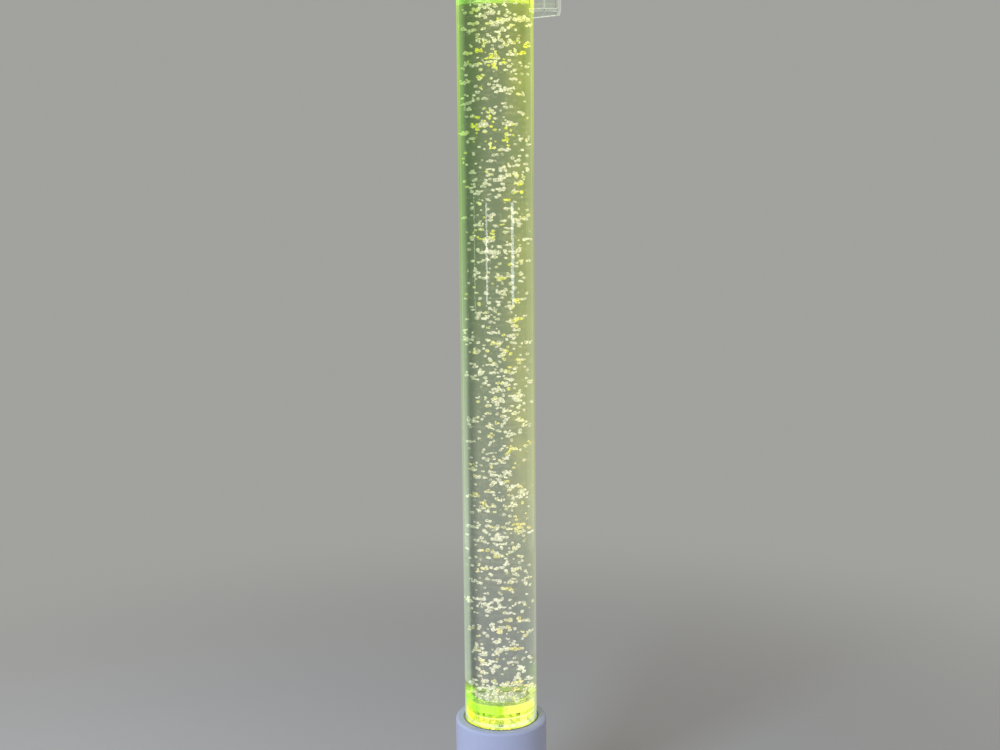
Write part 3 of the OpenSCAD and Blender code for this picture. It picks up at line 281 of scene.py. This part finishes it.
class LitPipe(Finish):
    """Clear acrylic pipe whose wall carries the light up: green on its left, yellow-green on its right."""

    def __init__(self):
        super().__init__("lit_tube")
        self.across = self.axis("X")
        self.height = self.axis("Z")
        self.upper = self.rise(self.height, 0.85, 1.55)
        self.near_surface = self.rise(self.height, 1.33, 1.72)
        self.left_band = self.fall(self.across, -0.0625, -0.0585)
        plug_low, plug_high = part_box("tube_plug")
        self.plug_bottom = plug_low.z
        self.plug_top = plug_high.z
        self.foot_top = self.plug_top + 31 * MM
        foot = self.fall(self.height, self.foot_top, self.foot_top + 6 * MM)
        self.left_foot = foot * self.fall(self.across, -0.062, -0.046)

    def tint(self):
        """Clear in the middle; painted LED light and shade tint it grey-green to the left, green in the left
        band, pale yellow at the top right and lime at the left foot.
        """
        # painted light and shade: these tints stand in for the LEDs' green and yellow light in the wall
        clear = (0.97, 0.98, 0.965)
        lower = self.mix(self.fall(self.across, -0.054, -0.038), clear, (0.57, 0.62, 0.60))
        upper = self.mix(self.fall(self.across, -0.056, -0.008), clear, (0.50, 0.65, 0.48))
        tint = self.mix(self.upper, lower, upper)
        band = self.mix(self.upper, (0.90, 0.98, 0.90), (0.52, 0.80, 0.22))
        tint = self.mix(self.left_band, tint, band)
        top_right = self.near_surface * self.rise(self.across, 0.026, 0.055)
        tint = self.mix(top_right, tint, (0.94, 0.93, 0.72))
        return self.mix(self.left_foot, tint, (0.80, 0.92, 0.40))

    def left_glow(self):
        """The left side's band and edge: pale low down, and a purer green the higher they get."""
        middle = self.rise(self.height, 0.60, 0.85)
        band = self.mix(middle, (0.090, 0.115, 0.085), (0.044, 0.066, 0.036))
        band = self.mix(self.upper, band, (0.024, 0.058, 0.002))
        edge = self.mix(middle, (0.13, 0.155, 0.11), (0.115, 0.145, 0.085))
        edge = self.mix(self.upper, edge, (0.085, 0.145, 0.010))
        edge = self.mix(self.near_surface, edge, (0.21, 0.33, 0.004))
        return self.mix(self.fall(self.across, -0.072, -0.066), band, edge)

    def right_glow(self):
        """The right side's cloudy yellow haze, which ends in a band and a bright edge."""
        lit = self.rise(self.height, 0.45, 0.90)
        cloud = self.rise(self.noise(16, 2), 0.35, 0.7)
        haze = self.mix(self.near_surface, (0.060, 0.050, 0.004), (0.062, 0.058, 0.001))
        band = self.mix(lit, (0.034, 0.030, 0.014), (0.054, 0.050, 0.004))
        band = self.mix(self.near_surface, band, (0.070, 0.076, 0.001))
        edge = self.mix(lit, (0.085, 0.085, 0.055), (0.085, 0.080, 0.018))
        edge = self.mix(self.near_surface, edge, (0.23, 0.26, 0.006))
        hazy = self.rise(self.across, -0.002, 0.036) * lit * (0.35 + 0.65 * cloud)
        glow = self.mix(hazy, DARK, haze)
        glow = self.mix(self.rise(self.across, 0.050, 0.068), glow, band)
        return self.mix(self.rise(self.across, 0.0655, 0.071), glow, edge)

    def foot_glow(self, glow):
        """Adds the light beside the plug: green to yellow on the left, pale on the right."""
        lower = self.fall(self.height, self.plug_top, self.foot_top)
        lowest = self.fall(self.height, self.plug_bottom - 3 * MM, self.plug_bottom + 5 * MM)
        left_tone = self.mix(lower, (0.034, 0.062, 0.002), (0.075, 0.24, 0.002))
        left_tone = self.mix(lowest, left_tone, (0.26, 0.25, 0.004))
        glow = self.mix(self.left_foot, glow, left_tone)
        right_foot = self.fall(self.height, self.plug_top + 11 * MM, self.plug_top + 71 * MM)
        right_foot = right_foot * self.rise(self.across, 0.054, 0.064)
        return self.mix(right_foot, glow, (0.095, 0.098, 0.05))

    def seat_glow(self, glow):
        """Adds the light where the pipe stands round the plug, and along the cover's brim."""
        outermost = self.rise(self.math("ABSOLUTE", self.across, 0), 0.069, 0.0735)
        rim = outermost * self.fall(self.height, self.plug_top - 3 * MM, self.plug_top + 3 * MM)
        glow = self.mix(rim, glow, (0.12, 0.17, 0.05))
        side = self.fall(self.height, self.plug_bottom + 4 * MM, self.plug_bottom + 14 * MM)
        side = side * self.rise(self.across, 0.048, 0.058)
        glow = self.mix(side * (1 - rim), glow, (0.15, 0.17, 0.02))
        cover_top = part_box("base_cover")[1].z
        above_cover = self.rise(self.height, cover_top + 2 * MM, cover_top + 4 * MM)
        brim = self.fall(self.height, cover_top + 9.5 * MM, cover_top + 11.5 * MM) * above_cover
        return self.mix(brim, glow, (0.10, 0.11, 0.15))


def lit_tube():
    """The lit pipe's tint of painted light and shade, and its glow, in one clear surface."""
    finish = LitPipe()
    glow = finish.mix(finish.left_band, finish.right_glow(), finish.left_glow())
    return finish.surface({
        # painted light and shade in the base colour
        "Base Color": finish.tint(),
        "Roughness": 0.0,
        "IOR": ACRYLIC_IOR,
        "Transmission Weight": 1.0,
        "Emission Color": finish.seat_glow(finish.foot_glow(glow)),
        "Emission Strength": 1.0,
    })


def lit_water():
    """Clear water with a painted yellow-green cast of LED light that grows upwards, and a lit floor and
    surface.
    """
    finish = Finish("lit_water")
    low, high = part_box("water")
    height = finish.axis("Z")
    # painted light: the yellow-green tint stands in for the LEDs' light in the water, strongest near the
    # surface
    painted_light_cast = finish.mix(finish.rise(height, 0.3, 1.4), (0.94, 0.98, 0.93), (0.63, 0.775, 0.44))
    painted_light_cast = finish.mix(finish.rise(height, 1.50, 1.78), painted_light_cast, (0.61, 0.74, 0.32))
    floor = finish.fall(height, low.z + 0.3 * MM, low.z + 1 * MM)
    surface = finish.rise(height, high.z - 2.2 * MM, high.z - 1.4 * MM)
    right = finish.rise(finish.axis("X"), -0.03, 0.045)
    surface_tone = finish.mix(right, (0.25, 0.54, 0.004), (0.38, 0.45, 0.01))
    glow = finish.mix(floor, DARK, (0.13, 0.15, 0.055))
    glow = finish.mix(surface, glow, surface_tone)
    return finish.surface({
        "Base Color": painted_light_cast,
        "Roughness": 0.0,
        "IOR": WATER_IOR,
        "Transmission Weight": 1.0,
        "Emission Color": glow,
        "Emission Strength": 1.0,
    })


def lit_bubble():
    """Air bubbles that catch the light of the foot: cream and yellow ones, paler low down."""
    finish = Finish("lit_bubble")
    upper = finish.rise(finish.axis("Z"), 0.6, 1.6)
    patch = finish.rise(finish.noise(24, 2), 0.50, 0.66)
    speck = finish.rise(finish.noise(380, 2), 0.38, 0.60)
    cream = finish.mix(upper, (0.74, 0.69, 0.64), (0.91, 0.77, 0.84))
    yellow = finish.mix(upper, (0.78, 0.66, 0.34), (0.93, 0.86, 0.09))
    tone = finish.mix(patch, cream, yellow)
    shade = finish.mix(speck, (0.24, 0.28, 0.20), (1.20, 1.19, 1.15))
    return finish.surface({
        "Base Color": finish.mix(patch, (0.80, 0.80, 0.66), (0.78, 0.78, 0.40)),
        "Roughness": 0.2,
        "Emission Color": finish.mix(1.0, tone, shade, "MULTIPLY"),
        "Emission Strength": 1.05,
    })


def edge_lit(name, left, right, strength, clear, rim_only=True, meet=(-0.03, 0.05)):
    """Edge-lit acrylic: its rim or all of it glows, in two colours that meet between two places along X. Its
    clear body is tinted green to yellow along X as painted LED light.
    """
    finish = Finish(name)
    side = finish.rise(finish.axis("X"), *meet)
    cloud = finish.rise(finish.noise(60, 3, 0.6), 0.35, 0.7)
    dim_tone = finish.mix(side, dim(left, 0.75), dim(right, 0.8))
    glow = finish.mix(cloud, dim_tone, finish.mix(side, left, right))
    if rim_only:
        upright = finish.fall(finish.facing("Z"), 0.2, 0.8)
        rim = finish.rise(finish.from_axis(), 0.066, 0.068) * upright
        front = 0.12 + 0.88 * finish.fall(finish.axis("Y"), -0.02, 0.035)
        glow = finish.mix(rim * front, (0.045, 0.060, 0.004), glow)
    return finish.surface({
        # painted light: the green-to-yellow tint of the clear body stands in for the LEDs' light
        "Base Color": finish.mix(side, (0.62, 0.92, 0.22), (0.92, 0.95, 0.42)),
        "Roughness": 0.04,
        "IOR": ACRYLIC_IOR,
        "Transmission Weight": clear,
        "Emission Color": glow,
        "Emission Strength": strength,
    })


def lit_post():
    """The clear posts on the light board, which glow all over: gold to the left, lime to the right."""
    gold = (1.0, 0.92, 0.16)
    lime = (0.95, 1.0, 0.35)
    return edge_lit("clear_post", gold, lime, strength=0.45, clear=0.6, rim_only=False)


def lit_plate():
    """The clear plate over the posts, with a pale yellow rim."""
    return edge_lit("clear_light_plate", (0.94, 0.95, 0.26), (0.95, 0.96, 0.42), strength=1.1, clear=0.9)


def lit_plug():
    """The thick plug under the water: its rim turns from green to yellow just right of the middle."""
    green = (0.46, 0.90, 0.002)
    yellow = (0.80, 0.90, 0.10)
    return edge_lit("clear_plug", green, yellow, strength=0.95, clear=0.95, meet=(0, 0.014))


def light_board():
    """White circuit board, flooded with gold light on the left and lime light on the right."""
    finish = Finish("light_board")
    side = finish.rise(finish.axis("X"), -0.06, 0.0)
    spots = finish.rise(finish.noise(90, 3, 0.6), 0.42, 0.62)
    gold = finish.mix(spots, (0.90, 0.50, 0.01), (1.0, 0.86, 0.02))
    lime = finish.mix(spots, (0.48, 0.66, 0.01), (0.86, 1.0, 0.05))
    return finish.surface({
        "Base Color": (0.75, 0.78, 0.70, 1),
        "Roughness": 0.4,
        "Emission Color": finish.mix(side, gold, lime),
        "Emission Strength": 0.62,
    })


def light_chip():
    """Light chips, some of them amber and some lime."""
    finish = Finish("light_chip")
    pick = finish.rise(finish.noise(30, 0), 0.4, 0.6)
    return finish.surface({
        "Base Color": (0.95, 0.95, 0.7, 1),
        "Roughness": 0.25,
        "Emission Color": finish.mix(pick, (1.0, 0.42, 0.02), (0.95, 1.0, 0.25)),
        "Emission Strength": 1.5,
    })


def brass_screw():
    """The brass screws of the light posts, flooded with the board's gold light."""
    return worked_metal("brass_screw", (0.60, 0.42, 0.16), (0.78, 0.58, 0.26), 0.25, flood=(0.42, 0.34, 0.03))


# the finish of each material slot
FINISHES = {
    "white_shell": moulded_shell(),
    "dark_seal": plain_plastic("dark_seal", (0.20, 0.22, 0.14), (0.27, 0.29, 0.19), 0.35),
    "black_rubber": plain_plastic("black_rubber", (0.018, 0.018, 0.019), (0.03, 0.03, 0.032), 0.6),
    "plate_steel": worked_metal("plate_steel", (0.50, 0.51, 0.53), (0.62, 0.63, 0.64), 0.32, (1, 1, 12)),
    "screw_steel": worked_metal("screw_steel", (0.48, 0.48, 0.50), (0.64, 0.64, 0.65), 0.25),
    "alloy": worked_metal("alloy", (0.70, 0.71, 0.73), (0.80, 0.81, 0.82), 0.28, (1, 14, 1)),
    "collar_plastic": plain_plastic("collar_plastic", (0.72, 0.73, 0.74), (0.80, 0.81, 0.82), 0.4),
    "circuit_board": plain_plastic("circuit_board", (0.01, 0.11, 0.04), (0.02, 0.16, 0.06), 0.3),
    "led_chip": light_chip(),
    "clear_post": lit_post(),
    "clear_light_plate": lit_plate(),
    "brass_screw": brass_screw(),
    "clear_tube": lit_tube(),
    "clear_plug": lit_plug(),
    "clear_air_plate": clear_plastic("clear_air_plate", (0.90, 0.95, 0.86)),
    "lit_water": lit_water(),
    "brass_fitting": worked_metal("brass_fitting", (0.62, 0.44, 0.18), (0.80, 0.60, 0.28), 0.22),
    "clear_hose": clear_plastic("clear_hose", (0.90, 0.93, 0.94), 0.12),
    "tap_chrome": worked_metal("tap_chrome", (0.72, 0.73, 0.75), (0.80, 0.81, 0.83), 0.04),
    "white_plastic": plain_plastic("white_plastic", (0.76, 0.76, 0.74), (0.84, 0.84, 0.82), 0.35),
    "red_handle": plain_plastic("red_handle", (0.40, 0.02, 0.015), (0.52, 0.035, 0.025), 0.3),
    "pump_shell": plain_plastic("pump_shell", (0.10, 0.115, 0.13), (0.15, 0.165, 0.18), 0.45),
    "core_iron": worked_metal("core_iron", (0.16, 0.16, 0.17), (0.24, 0.24, 0.25), 0.5, (1, 40, 1)),
    "copper_coil": worked_metal("copper_coil", (0.50, 0.20, 0.08), (0.68, 0.32, 0.14), 0.3, (1, 1, 30)),
    "black_plastic": plain_plastic("black_plastic", (0.022, 0.022, 0.024), (0.035, 0.035, 0.038), 0.35),
    "wire_cover": plain_plastic("wire_cover", (0.38, 0.025, 0.02), (0.50, 0.04, 0.03), 0.4),
    "clear_lid": clear_plastic("clear_lid", (0.90, 0.95, 0.94)),
    "clear_bracket": bracket_sheet("clear_bracket", "X", 0.09, 0.6),
}

# nodes that look different from the rest of their slot
OWN_FINISHES = {
    "led_board": light_board(),
    "bracket_floor": bracket_sheet("bracket_floor", "Z", 0.05, spill=(0.20, 0.24, 0.004)),
    "bracket_front": bracket_sheet("bracket_front", "Y", 0.28, 0.05, spill=(0.16, 0.20, 0.004)),
    "bracket_rear": bracket_sheet("bracket_rear", "Y", 0.24, 0.07),
}

BUBBLE = lit_bubble()


def dress_cad_nodes():
    """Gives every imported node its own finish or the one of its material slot."""
    for part in frame["record"]["subparts"]:
        shown = frame["nodes"][part["node"]]
        coat = OWN_FINISHES.get(part["node"], FINISHES[part["material_slot"]])
        for slot in shown.material_slots:
            slot.material = coat


dress_cad_nodes()


# ---- pieces ----

def make_object(name, shape, coat):
    """Turns a bmesh into an object with one material."""
    mesh = bpy.data.meshes.new(name)
    shape.to_mesh(mesh)
    shape.free()
    mesh.materials.append(coat)
    made = bpy.data.objects.new(name, mesh)
    bpy.context.scene.collection.objects.link(made)
    return made


def add_piece(name, shape, coat, body):
    """Turns a bmesh into a smooth piece that rides on a body."""
    bmesh.ops.recalc_face_normals(shape, faces=shape.faces[:])
    piece = make_object(name, shape, coat)
    piece.data.shade_smooth()
    piece.data.set_sharp_from_angle(angle=math.radians(40))
    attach(piece, body)
    return piece


def turn_outline(outline, closed):
    """Spins an outline of (radius, height) points round the tube's axis."""
    shape = bmesh.new()
    points = [shape.verts.new((r, 0, z)) for r, z in outline]
    for first, second in zip(points, points[1:]):
        shape.edges.new((first, second))
    if closed:
        shape.edges.new((points[-1], points[0]))
    bmesh.ops.spin(
        shape,
        geom=shape.verts[:] + shape.edges[:],
        cent=(0, 0, 0),
        axis=(0, 0, 1),
        angle=math.tau,
        steps=256,
        use_merge=True,
    )
    bmesh.ops.remove_doubles(shape, verts=shape.verts[:], dist=1e-6)
    return shape


def make_tube():
    """The clear pipe with polished, slightly rounded rims."""
    low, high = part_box("tube")
    wall = 5 * MM
    outer = high.x
    inner = outer - wall
    straight_to = high.z - 2 * MM
    round_edge = 0.7 * MM
    half_round = 0.3 * round_edge
    outline = [
        (inner, low.z),
        (outer, low.z),
        (outer, straight_to),
        (outer, high.z - round_edge),
        (outer - half_round, high.z - half_round),
        (outer - round_edge, high.z),
        (inner + round_edge, high.z),
        (inner + half_round, high.z - half_round),
        (inner, high.z - round_edge),
        (inner, straight_to),
    ]
    piece = add_piece("tube_wall", turn_outline(outline, True), FINISHES["clear_tube"], "lamp")
    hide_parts("tube")
    return inner


def make_water(inner):
    """The water, a hair wider than the bore, with a raised edge and a disturbed surface."""
    low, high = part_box("water")
    top = high.z
    overlap = 0.1 * MM
    reach = inner + overlap
    floor = low.z - overlap
    rings = 12
    outline = [(0, floor), (reach, floor), (reach, top + 2 * MM)]
    outline += [(inner - 1.2 * MM, top + 0.6 * MM), (inner - 3 * MM, top)]
    outline += [(inner * ring / rings, top) for ring in range(rings - 1, -1, -1)]
    shape = turn_outline(outline, False)
    wave = 1.6 * MM
    waves_per_metre = 70
    wavy_r = inner - 2 * MM
    for point in shape.verts:
        on_surface = point.co.z > top - 1 * MM
        if on_surface and math.hypot(point.co.x, point.co.y) < wavy_r:
            point.co.z += wave * noise.noise(point.co * waves_per_metre)
    piece = add_piece("water_column", shape, FINISHES["lit_water"], "lamp")
    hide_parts("water")
    return low.z, top


def around(radius, angle, height):
    """The place at a distance and an angle round the tube's axis."""
    return Vector((radius * math.cos(angle), radius * math.sin(angle), height))


def add_bubble(shape, centre, radius, half_height, rng):
    """One wobbly, flattened bubble of a few dozen faces."""
    lean = rng.uniform(-0.4, 0.4)
    never_zero = 0.01
    lean_axis = (rng.uniform(-1, 1), rng.uniform(-1, 1), never_zero)
    tilt = Matrix.Rotation(lean, 4, lean_axis)
    turn = Matrix.Rotation(rng.uniform(0, math.tau), 4, "Z")
    swell = Matrix.Diagonal((radius, radius * rng.uniform(0.75, 1.1), half_height, 1))
    place = Matrix.Translation(centre) @ tilt @ turn @ swell
    made = bmesh.ops.create_uvsphere(shape, u_segments=8, v_segments=5, radius=1, matrix=place)
    dent = 0.5
    dents_per_metre = 240
    dent_shift = Vector((7, 3, 1))
    for point in made["verts"]:
        offset = point.co - centre
        point.co += offset * (dent * noise.noise(point.co * dents_per_metre + dent_shift))


def add_cluster(shape, place, links, rng, swirl_r):
    """A ragged level train of touching bubbles, some of them stacked in the longer trains."""
    farthest = swirl_r + 3 * MM
    stacked_share = 0.3
    stacked_size = 0.8
    heading = rng.uniform(0, math.tau)
    for _ in range(links):
        radius = rng.uniform(1.7, 3.5) * MM
        half_height = radius * rng.uniform(0.7, 1.1)
        if math.hypot(place.x, place.y) < farthest:
            add_bubble(shape, place.copy(), radius, half_height, rng)
        if rng.random() < stacked_share and links > 2:
            shift = Vector((rng.uniform(-3, 3) * MM, rng.uniform(-3, 3) * MM, 1.5 * half_height))
            add_bubble(shape, place + shift, stacked_size * radius, stacked_size * half_height, rng)
        heading += rng.uniform(-0.7, 0.7)
        ahead = radius * rng.uniform(1.0, 1.7)
        rise = rng.uniform(-1.6, 1.6) * MM
        place = place + around(ahead, heading, rise)


def train_length(rng):
    """How many bubbles a train has: mostly one, sometimes two or three, seldom up to six."""
    kind = rng.random()
    if kind < 0.66:
        return 1
    if kind < 0.88:
        return rng.randint(2, 3)
    return rng.randint(4, 6)


def make_bubbles(bottom, top):
    """The swirl of rising bubbles in layers, which are densest in the top two."""
    rng = random.Random(11)
    swirl_r = 50 * MM
    layers = 24
    layer_height = (top - bottom) / layers
    lowest = bottom + 5 * MM
    highest = top - 9 * MM
    for layer in range(layers):
        shape = bmesh.new()
        clusters = 70 if layer >= layers - 2 else 51
        for _ in range(clusters):
            radius = swirl_r * math.sqrt(rng.random())
            angle = rng.uniform(0, math.tau)
            height = bottom + layer_height * (layer + rng.random())
            place = around(radius, angle, min(max(height, lowest), highest))
            add_cluster(shape, place, train_length(rng), rng, swirl_r)
        add_piece(f"bubbles_{layer + 1}", shape, BUBBLE, "lamp")


def make_new_bubbles(bottom):
    """The dense bubbles that have just left the air plate."""
    rng = random.Random(23)
    shape = bmesh.new()
    swirl_r = 52 * MM
    lowest = bottom + 3 * MM
    spread = 34 * MM
    for _ in range(60):
        radius = swirl_r * math.sqrt(rng.random())
        angle = rng.uniform(0, math.tau)
        place = around(radius, angle, lowest + spread * rng.random() ** 1.5)
        links = rng.choice((1, 1, 2, 3))
        add_cluster(shape, place, links, rng, swirl_r)
    add_piece("new_bubbles", shape, BUBBLE, "lamp")


def make_foam(top, inner):
    """Small bubbles just under the water's surface, most of them along its edge."""
    rng = random.Random(5)
    shape = bmesh.new()
    level = top - 3.4 * MM
    for _ in range(64):
        from_wall = rng.choice((4, 4, 4, 7, 12, 25)) * MM
        angle = rng.uniform(0, math.tau)
        radius = rng.uniform(1.2, 2.2) * MM
        add_bubble(shape, around(inner - from_wall, angle, level), radius, 0.5 * radius, rng)
    add_piece("foam", shape, BUBBLE, "lamp")


bore = make_tube()
water_bottom, water_top = make_water(bore)
make_bubbles(water_bottom, water_top)
make_new_bubbles(water_bottom)
make_foam(water_top, bore)


# ---- studio ----

NOT_IN_GLOSS = ("glossy", "transmission")
ONLY_IN_GLOSS = ("camera", "diffuse", "transmission")


def make_floor():
    """A plain pale floor that runs into the backdrop's tone away from the lamp."""
    shape = bmesh.new()
    bmesh.ops.create_circle(shape, cap_ends=True, segments=96, radius=14)
    finish = Finish("floor")
    far = finish.rise(finish.from_axis(), 0.7, 2.6)
    matte = finish.node("ShaderNodeBsdfDiffuse", None, {"Color": (0.60, 0.60, 0.58, 1)})
    plain = finish.node("ShaderNodeEmission", None, {"Color": (*BACKDROP, 1), "Strength": 1.0})
    blend = finish.node("ShaderNodeMixShader", None, {0: far, 1: matte, 2: plain})
    finish.end("ShaderNodeOutputMaterial", blend)
    floor = make_object("floor", shape, finish.material)


def light_world():
    """Even soft light, with the plain backdrop wherever the camera, a gloss or clear plastic shows it."""
    world = bpy.data.worlds.new("studio")
    bpy.context.scene.world = world
    nodes = Nodes(world)
    shown = nodes.node("ShaderNodeLightPath", out="Is Camera Ray")
    for ray in ("Is Glossy Ray", "Is Transmission Ray"):
        shown = nodes.math("MAXIMUM", shown, nodes.node("ShaderNodeLightPath", out=ray))
    soft = nodes.node("ShaderNodeBackground", None, {"Color": (1.0, 0.94, 0.87, 1), "Strength": 0.30})
    plain = nodes.node("ShaderNodeBackground", None, {"Color": (*BACKDROP, 1)})
    blend = nodes.node("ShaderNodeMixShader", None, {0: shown, 1: soft, 2: plain})
    nodes.end("ShaderNodeOutputWorld", blend)


def hang_softbox(name, place, aim, size, power, colour, hidden_from):
    """A rectangular soft light at a place, turned towards a point."""
    light = bpy.data.lights.new(name, "AREA")
    light.shape = "RECTANGLE"
    light.size, light.size_y = size
    light.energy = power
    light.color = colour
    lamp = bpy.data.objects.new(name, light)
    lamp.location = place
    lamp.rotation_euler = (Vector(aim) - Vector(place)).to_track_quat("-Z", "Y").to_euler()
    for sight in hidden_from:
        setattr(lamp, f"visible_{sight}", False)
    bpy.context.scene.collection.objects.link(lamp)


def hang_key():
    """The cool main light, from the front left and aimed at the lamp's foot."""
    hang_softbox(
        "key",
        place=(-1.7, -2.6, 2.4),
        aim=(0, 0, 0.3),
        size=(1.4, 1.2),
        power=78,
        colour=(0.68, 0.78, 1.0),
        hidden_from=NOT_IN_GLOSS,
    )


def hang_fill(name, side, power, colour):
    """A tall narrow light beside the lamp, on its left (-1) or its right (1)."""
    place = (2.2 * side, 0.35, 1.5)
    aim = (0, 0, 0.9)
    hang_softbox(name, place, aim, (0.5, 2.2), power, colour, NOT_IN_GLOSS)


def hang_side_card(name, degrees, power):
    """A tall pale card, seen only as a gloss on the pipe's edges; its degrees count from the lamp's back."""
    distance = 2.3
    middle = 1.0
    place = around(distance, math.radians(90 - degrees), middle)
    size = (1.7, 3.4)
    hang_softbox(name, place, (0, 0, middle), size, power, (1.0, 1.0, 0.95), ONLY_IN_GLOSS)


def hang_pane(name, degrees, size, power, colour):
    """A bright pane, seen only as a reflection on the pipe; its degrees count from the lamp's front."""
    distance = 2.5
    middle = 1.18
    place = around(distance, math.radians(degrees - 90), middle)
    hang_softbox(name, place, (0, 0, middle), size, power, colour, ONLY_IN_GLOSS)


make_floor()
light_world()
hang_key()
hang_fill("fill_left", -1, 9, (0.9, 0.95, 1.0))
hang_fill("fill_right", 1, 2, (1.0, 0.95, 0.9))
hang_side_card("card_right", 60, 10)
hang_side_card("card_left", -60, 13)
hang_pane("pane_right", 48, (0.40, 0.40), 4.4, (0.80, 0.90, 1.0))
hang_pane("pane_left", -30.5, (0.26, 0.40), 2.6, (1.0, 1.0, 0.95))
hang_pane("pane_far_left", -71, (0.16, 0.46), 0.9, (0.8, 1.0, 0.75))
